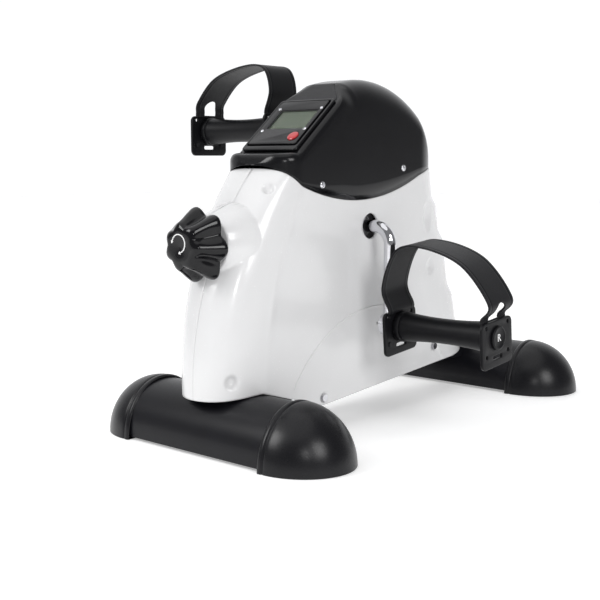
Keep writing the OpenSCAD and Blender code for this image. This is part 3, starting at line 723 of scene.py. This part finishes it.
def all_screws():
    for k, (x, u) in enumerate(CASE_SCREWS):
        place = console_axes(u, 4) @ Matrix.Translation((x, 0, 0))
        screw_head("display_screw_%d" % k, place, 1.7, 0.8, nodes=["console_screws"] if k == 0 else ())
    for side in ("left", "right"):
        s = SIDE_SIGN[side]
        for k, (y, z) in enumerate(HOOD_SCREWS):
            place = axes((s * HALF_WIDTH, y, z), Vector((0, s, 0)), Vector((0, 0, 1)), Vector((s, 0, 0)))
            nodes = ["hood_screws"] if (side, k) == ("left", 0) else ()
            screw_head("hood_screw_%s_%d" % (side, k), place, 3.4, 1.2, nodes=nodes)


# ---- Feet ----
def arch_ring(x, y, half, height, low, power=1.0, steps=48):
    """An arched section across the foot: flat below, round above."""
    ring = []
    for k in range(steps + 1):
        a = pi * k / steps
        ring.append((x, y + half * cos(a), low + (height - low) * sin(a) ** power))
    for k in range(1, 12):
        ring.append((x, y - half + 2 * half * k / 12, low))
    return ring


# Section of a cross tube: half width, height, height of its flat underside and how square its top is
TUBE_SECTION = (45, 53, 2.5, 0.8)


def foot_tube(which):
    y = middle(which + "_tube")[1]
    low, high = mm_box(which + "_tube")
    xs = [low[0] + (high[0] - low[0]) * k / 12 for k in range(13)]
    rings = [arch_ring(x, y, *TUBE_SECTION) for x in xs]
    mesh = grid_mesh("foot_bar_" + which, rings, wrap=True)
    add_piece("foot_bar_" + which, mesh, "frame_black", "base", [which + "_tube"])


def end_cap(which, side):
    """A domed end cap with a rolled rim."""
    node = "cap_%s_%s" % (which, side)
    low, high = mm_box(node)
    y = (low[1] + high[1]) / 2
    s = SIDE_SIGN[side]
    outer = max(abs(low[0]), abs(high[0]))
    inner = min(abs(low[0]), abs(high[0]))
    rim = inner + 6
    profile = [(inner + 0.4, 0.955), (inner, 0.97), (inner + 0.7, 0.992), (inner + 2, 1), (rim - 1.6, 1),
               (rim - 0.7, 0.994), (rim - 0.1, 0.978), (rim + 0.6, 0.977), (rim + 1.3, 0.987)]
    for k in range(1, 37):
        a = pi / 2 * k / 36
        x = rim + (outer - rim) * sin(a)
        if x > rim + 1.6:
            profile.append((x, 0.993 * max(0.004, cos(a))))
    rings = [arch_ring(s * x, y, 49 * f, 56 * f, 0.02) for x, f in profile]
    mesh = grid_mesh(node.replace("cap", "foot_cap"), rings, wrap=True)
    add_piece(node.replace("cap", "foot_cap"), mesh, "cap_black", "base", [node], sharp=60)


# ---- Knob ----
def knob():
    """Flared hand knob with scooped lobes, a domed face and a printed arrow."""
    depth = KNOB_BACK - KNOB_FRONT
    profile = [(0.02, 0.05), (6, 0.04), (13, 0.02), (16.5, 0.03), (19.3, 0.08), (21, 0.15), (22.4, 0.26),
               (24.4, 0.4), (27, 0.54), (29.6, 0.68), (31.8, 0.8), (33, 0.89), (32.8, 0.96), (31.4, 1),
               (20, 1), (12, 0.97), (4.2, 0.97)]
    rings = []
    for r, share in profile:
        lobe = smooth((r - 13) / 16) * (1 if share < 0.98 else 0.9)
        ring = []
        for k in range(168):
            a = 2 * pi * k / 168
            wave = 0.5 + 0.5 * cos(7 * a + 0.4)
            wave = wave ** 0.75
            radius = r + lobe * (2 - 7 * (1 - wave))
            y = KNOB_FRONT + share * depth - lobe * 1.2 * wave * (1 - share)
            ring.append((radius * cos(a), max(KNOB_FRONT, y), KNOB_Z + radius * sin(a)))
        rings.append(ring)
    mesh = grid_mesh("hand_knob", rings, wrap=True)
    obj = add_piece("hand_knob", mesh, "knob_black", "knob", ["knob"], sharp=70)
    fine = obj.modifiers.new("smooth", "SUBSURF")
    fine.levels = 1
    fine.render_levels = 1
    path = []
    for k in range(41):
        a = radians(165 - 240 * k / 40)
        path.append((-1.5 + 8.2 * cos(a), KNOB_FRONT + 0.75, KNOB_Z + 3 + 8.2 * sin(a)))
    add_piece("knob_arrow", tube_along("knob_arrow", path, 0.55, 8), "knob_black", "knob", look=PRINT_LOOK)
    for name, index, turn in (("a", 0, 1), ("b", 40, -1)):
        arrow_head("knob_arrow_" + name, path, index, turn)


def arrow_head(name, path, index, turn):
    """A small flat arrow head at one end of the printed arc."""
    tip = Vector(path[index])
    back = Vector(path[index + 3 * turn])
    forward = (tip - back).normalized()
    side = forward.cross(Vector((0, 1, 0)))
    points = [tip + forward * 2.4, tip + side * 1.6, tip - side * 1.6]
    raised = [tuple(p + Vector((0, -0.3, 0))) for p in points]
    faces = [(0, 1, 2), (5, 4, 3), (0, 1, 4, 3), (1, 2, 5, 4), (2, 0, 3, 5)]
    mesh = raw_mesh(name, [tuple(p) for p in points] + raised, faces)
    add_piece(name, mesh, "knob_black", "knob", look=PRINT_LOOK)


# ---- Pedals ----
def pedal_axes(side):
    """The pedal's own axes: x outward along the axle, y to the rear, z up, turned to its rest angle."""
    y, z = middle("roller_" + side)[1:]
    turn = Matrix.Rotation(TILT[side], 4, "X")
    mirror = Matrix.Diagonal((SIDE_SIGN[side], 1, 1, 1))
    return Matrix.Translation((0, y, z)) @ turn @ mirror


def strap_knots(side):
    """The strap's middle line as (x, height above the axle), from the inner plate to the outer one."""
    rise = RISE[side]
    x0 = PEDAL_IN + 4.3
    x1 = PEDAL_OUT - 4.3
    ends = [(x0, 9.7), (x0, 15.7), (x0, 20.7)]
    if side == "right":
        arch = [(x0 - 6.5, 0.5 * rise), (x0 + 11, 0.94 * rise), (x0 + 42, rise), (x1 - 20, 0.83 * rise),
                (x1 + 8, 0.42 * rise)]
    else:
        arch = [(x0 - 6.5, 0.62 * rise), (x0 + 3, 0.96 * rise), (x0 + 32, rise), (x1 - 29, 0.83 * rise),
                (x1 - 3, 0.48 * rise)]
    return ends + arch + [(x1, 20.7), (x1, 15.7), (x1, 9.7)]


def strap_path(t, side):
    """A point on the smooth curve through the strap's knots, for t from 0 to 1."""
    knots = [Vector(k) for k in strap_knots(side)]
    spans = len(knots) - 3
    i = min(spans - 1, int(t * spans))
    f = t * spans - i
    p0, p1, p2, p3 = knots[i:i + 4]
    point = 2 * p1 + (p2 - p0) * f + (2 * p0 - 5 * p1 + 4 * p2 - p3) * f ** 2
    point = (point + (3 * p1 - p0 - 3 * p2 + p3) * f ** 3) / 2
    return point.x, point.y


# Slot at the strap's outer end: half width, low end, where its arch starts and the arch's height
SLOT = (9, 17.5, 25, 9)


def slot_shape(y, z):
    """True inside the arch-shaped slot at the strap's outer end."""
    half, low, spring, crown = SLOT
    if z < low or z > spring + crown:
        return False
    if z < spring:
        return abs(y) < half
    return (y / half) ** 2 + ((z - spring) / crown) ** 2 < 1


def strap(side):
    """Rubber strap with raised edges and an arch-shaped slot at its outer end."""
    along = 170
    across = 56
    rows = []
    path = [strap_path(i / along, side) for i in range(along + 1)]
    for i, (x, z) in enumerate(path):
        before = Vector(path[max(0, i - 1)])
        after = Vector(path[min(along, i + 1)])
        forward = (after - before).normalized()
        out = Vector((-forward.y, forward.x))
        row = []
        for j in range(across + 1):
            y = -21 + 42 * j / across
            groove = smooth((abs(y) - 15.8) / 0.8) * smooth((18 - abs(y)) / 0.8)
            lip = 0.1 * smooth((abs(y) - 17.4) / 0.9) - 0.3 * groove
            row.append((x + out.x * lip, y, z + out.y * lip))
        rows.append(row)
    points = [p for row in rows for p in row]
    faces = []
    for face in grid_faces(along + 1, across + 1):
        centre = [sum(points[k][c] for k in face) / 4 for c in range(3)]
        if not (centre[0] > 150 and slot_shape(centre[1], centre[2])):
            faces.append(face)
    mesh = raw_mesh("foot_strap_" + side, points, faces)
    tidy_slot(mesh)
    mesh.transform(scaled(pedal_axes(side)))
    obj = add_piece("foot_strap_" + side, mesh, "strap_rubber", "pedal_" + side, ["strap_" + side], sharp=55)
    thick = obj.modifiers.new("rubber", "SOLIDIFY")
    thick.thickness = 1.8 * MM
    thick.offset = 0
    return obj


def tidy_slot(mesh):
    """Sets the rim of the slot on its smooth outline."""
    build = bmesh.new()
    build.from_mesh(mesh)
    loose = [v for v in build.verts if not v.link_faces]
    bmesh.ops.delete(build, geom=loose, context="VERTS")
    for vert in build.verts:
        if not vert.is_boundary or vert.co.x < 0.15 or abs(vert.co.y) > 0.015 or vert.co.z < 0.0165:
            continue
        half, _, spring, crown = SLOT
        y = vert.co.y / MM
        z = vert.co.z / MM
        if z < spring and abs(y) > half - 2:
            vert.co.y = half * MM * (1 if y > 0 else -1)
        elif z >= spring:
            length = sqrt((y / half) ** 2 + ((z - spring) / crown) ** 2)
            vert.co.y = y / length * MM
            vert.co.z = (spring + (z - spring) / length) * MM
    build.to_mesh(mesh)
    build.free()


def scaled(matrix):
    """The same matrix with its translation in metres."""
    result = matrix.copy()
    result.translation = matrix.translation * MM
    return result


def pedal_plate(name, side, x0, bore, node):
    """End plate of a pedal, with rounded edges and its four small holes."""
    holes = [circle(y, z, 1.8, 16) for y in (-18.8, 18.8) for z in (-15, 12.5)]
    holes.append(rounded_rectangle(-8, 8, -20, -16, 1.9, 5))
    outline = rounded_rectangle(-26.5, 26.5, -27, 17, 6)
    mesh = slab(name, [outline, circle(0, 0, bore, 40)] + holes, 3, 0.7)
    upright = axes((x0, 0, 0), Vector((0, 1, 0)), Vector((0, 0, 1)), Vector((1, 0, 0)))
    mesh.transform(scaled(pedal_axes(side) @ upright))
    flip_if_mirrored(mesh, side)
    return add_piece(name, mesh, "pedal_black", "pedal_" + side, [node])


def flip_if_mirrored(mesh, side):
    if side == "left":
        mesh.flip_normals()


def roller(side):
    """Waisted tread roller with moulded end collars."""
    x0 = PEDAL_IN + 3.1
    x1 = PEDAL_OUT - 3.1
    collar = [(4.6, 0.3), (9, 0.3), (14.4, 0.2), (15.2, 0.9), (15.4, 2), (15.4, 5), (15.1, 6), (14.6, 6.6)]
    profile = list(collar)
    length = x1 - x0
    for k in range(31):
        t = k / 30
        sag = 2.6 * (1 - (2 * t - 1) ** 2)
        profile.append((14.8 - sag, 7 + (length - 14) * t))
    profile += [(r, length - h) for r, h in reversed(collar)]
    mesh = revolved("tread_roller_" + side, profile, 72)
    lying = axes((x0, 0, 0), Vector((0, 1, 0)), Vector((0, 0, 1)), Vector((1, 0, 0)))
    mesh.transform(scaled(pedal_axes(side) @ lying))
    flip_if_mirrored(mesh, side)
    add_piece("tread_roller_" + side, mesh, "pedal_black", "pedal_" + side, ["roller_" + side])


def pedal_cap(side):
    """Round cap on the axle's outer end, with a small ridge round its face."""
    profile = [(8.8, 0.4), (8.8, 6), (11.3, 6.05), (11.5, 6.6), (11.5, 7.6), (11.1, 8.2), (10.3, 8.5),
               (9.6, 8.4), (9.3, 7.9), (9, 7.7), (0.02, 7.7)]
    mesh = revolved("axle_cap_" + side, profile, 56)
    lying = axes((PEDAL_OUT - 6, 0, 0), Vector((0, 1, 0)), Vector((0, 0, 1)), Vector((1, 0, 0)))
    mesh.transform(scaled(pedal_axes(side) @ lying))
    flip_if_mirrored(mesh, side)
    add_piece("axle_cap_" + side, mesh, "pedal_black", "pedal_" + side, ["end_cap_" + side])


def side_letter(side):
    """Generic raised L or R that tells the two pedals apart."""
    text = bpy.data.curves.new("letter_" + side, "FONT")
    text.body = side[0].upper()
    text.size = 10 * MM
    text.extrude = 0.25 * MM
    text.align_x = "CENTER"
    text.align_y = "CENTER"
    maker = bpy.data.objects.new("letter_maker", text)
    bpy.context.scene.collection.objects.link(maker)
    graph = bpy.context.evaluated_depsgraph_get()
    mesh = bpy.data.meshes.new_from_object(maker.evaluated_get(graph))
    bpy.data.objects.remove(maker)
    bpy.data.curves.remove(text)
    s = SIDE_SIGN[side]
    lying = axes((PEDAL_OUT + 1.8, 0, 0), Vector((0, s, 0)), Vector((0, 0, 1)), Vector((s, 0, 0)))
    mesh.transform(scaled(pedal_axes(side) @ lying))
    add_piece("pedal_letter_" + side, mesh, "pedal_black", "pedal_" + side, look=PRINT_LOOK, sharp=30)


def pedal(side):
    roller(side)
    pedal_plate("plate_in_" + side, side, PEDAL_IN, 4.6, "inner_plate_" + side)
    pedal_plate("plate_out_" + side, side, PEDAL_OUT - 3, 8.8, "outer_plate_" + side)
    pedal_cap(side)
    side_letter(side)
    strap(side)


# ---- CAD nodes that keep their own shape ----
def finish_cad_nodes():
    """Gives every CAD node the finish of its material slot."""
    slots = {part["node"]: part["material_slot"] for part in frame["record"]["subparts"]}
    for name, obj in frame["nodes"].items():
        look = SLOT_LOOKS[slots[name]]
        if not obj.material_slots:
            obj.data.materials.append(look)
        for material_slot in obj.material_slots:
            material_slot.material = look


# ---- Stage ----
def soft_light(name, place, target, size, power):
    lamp = bpy.data.lights.new(name, "AREA")
    lamp.shape = "RECTANGLE"
    lamp.size = size[0]
    lamp.size_y = size[1]
    lamp.energy = power
    obj = bpy.data.objects.new(name, lamp)
    obj.location = place
    aim = Vector(target) - Vector(place)
    obj.rotation_euler = aim.to_track_quat("-Z", "Y").to_euler()
    bpy.context.scene.collection.objects.link(obj)


def graded_world(world):
    """A studio that is pale behind the object and darker behind the photographer."""
    nodes = world.node_tree.nodes
    links = world.node_tree.links
    coords = nodes.new("ShaderNodeTexCoord")
    facing = nodes.new("ShaderNodeVectorMath")
    facing.operation = "DOT_PRODUCT"
    facing.inputs[1].default_value = (-0.66, 0.75, 0.15)
    links.new(coords.outputs["Generated"], facing.inputs[0])
    ramp = nodes.new("ShaderNodeMapRange")
    ramp.interpolation_type = "SMOOTHSTEP"
    ramp.inputs["From Min"].default_value = 0.2
    ramp.inputs["From Max"].default_value = 0.85
    ramp.inputs["To Min"].default_value = 0.22
    ramp.inputs["To Max"].default_value = 1.05
    links.new(facing.outputs["Value"], ramp.inputs["Value"])
    background = nodes["Background"]
    background.inputs["Color"].default_value = (0.98, 0.985, 1, 1)
    links.new(ramp.outputs["Result"], background.inputs["Strength"])


def stage():
    floor = bpy.data.meshes.new("floor")
    corners = [(-6, -6), (6, -6), (6, 6), (-6, 6)]
    floor.from_pydata([(x, y, -0.0004) for x, y in corners], [], [(0, 1, 2, 3)])
    floor.materials.append(surface("mat_floor", (0.84, 0.84, 0.84), 0.6, grain=300, bump=0.01, vary=0.01))
    glow = floor.materials[0].node_tree.nodes["Principled BSDF"]
    glow.inputs["Emission Color"].default_value = (1, 1, 1, 1)
    glow.inputs["Emission Strength"].default_value = 0.36
    obj = bpy.data.objects.new("floor", floor)
    bpy.context.scene.collection.objects.link(obj)
    world = bpy.data.worlds.new("studio")
    world.use_nodes = True
    graded_world(world)
    bpy.context.scene.world = world
    sun = bpy.data.lights.new("sky_panel", "SUN")
    sun.energy = 0.95
    sun.angle = radians(70)
    lamp = bpy.data.objects.new("sky_panel", sun)
    lamp.rotation_euler = (radians(14), radians(-8), 0)
    bpy.context.scene.collection.objects.link(lamp)
    soft_light("key", (-0.9, -1.7, 1.3), (0, -0.05, 0.15), (0.8, 0.8), 19)
    soft_light("spark", (0.8, -0.95, 0.5), (0, -0.1, 0.1), (0.12, 0.12), 1.2)
    soft_light("fill", (2.0, -0.7, 1.2), (0, 0, 0.15), (0.9, 0.9), 21)
    bpy.context.scene.view_settings.view_transform = "Standard"


def camera():
    azimuth = radians(41.134)
    tilt = radians(7.725)
    forward = Vector((-sin(azimuth) * cos(tilt), cos(azimuth) * cos(tilt), -sin(tilt)))
    right = forward.cross(Vector((0, 0, 1))).normalized()
    up = right.cross(forward)
    turn = Matrix.Rotation(radians(-0.164), 4, "Z")
    data = bpy.data.cameras.new("photo_view")
    data.lens = 63.74
    data.sensor_width = 36
    data.shift_x = 0.00105
    data.shift_y = 0.00445
    obj = bpy.data.objects.new("photo_view", data)
    pose = axes((0, 0, 0), right, up, -forward) @ turn
    pose.translation = Vector((0.6926, -0.8938, 0.2670))
    obj.matrix_world = pose
    bpy.context.scene.collection.objects.link(obj)
    bpy.context.scene.camera = obj


stage()
camera()
finish_cad_nodes()
for side_name in ("left", "right"):
    shell(side_name)
    arch_lip(side_name)
    pedal(side_name)
    for foot in ("front", "rear"):
        end_cap(foot, side_name)
foot_tube("front")
foot_tube("rear")
hood()
console_pieces()
all_screws()
knob()
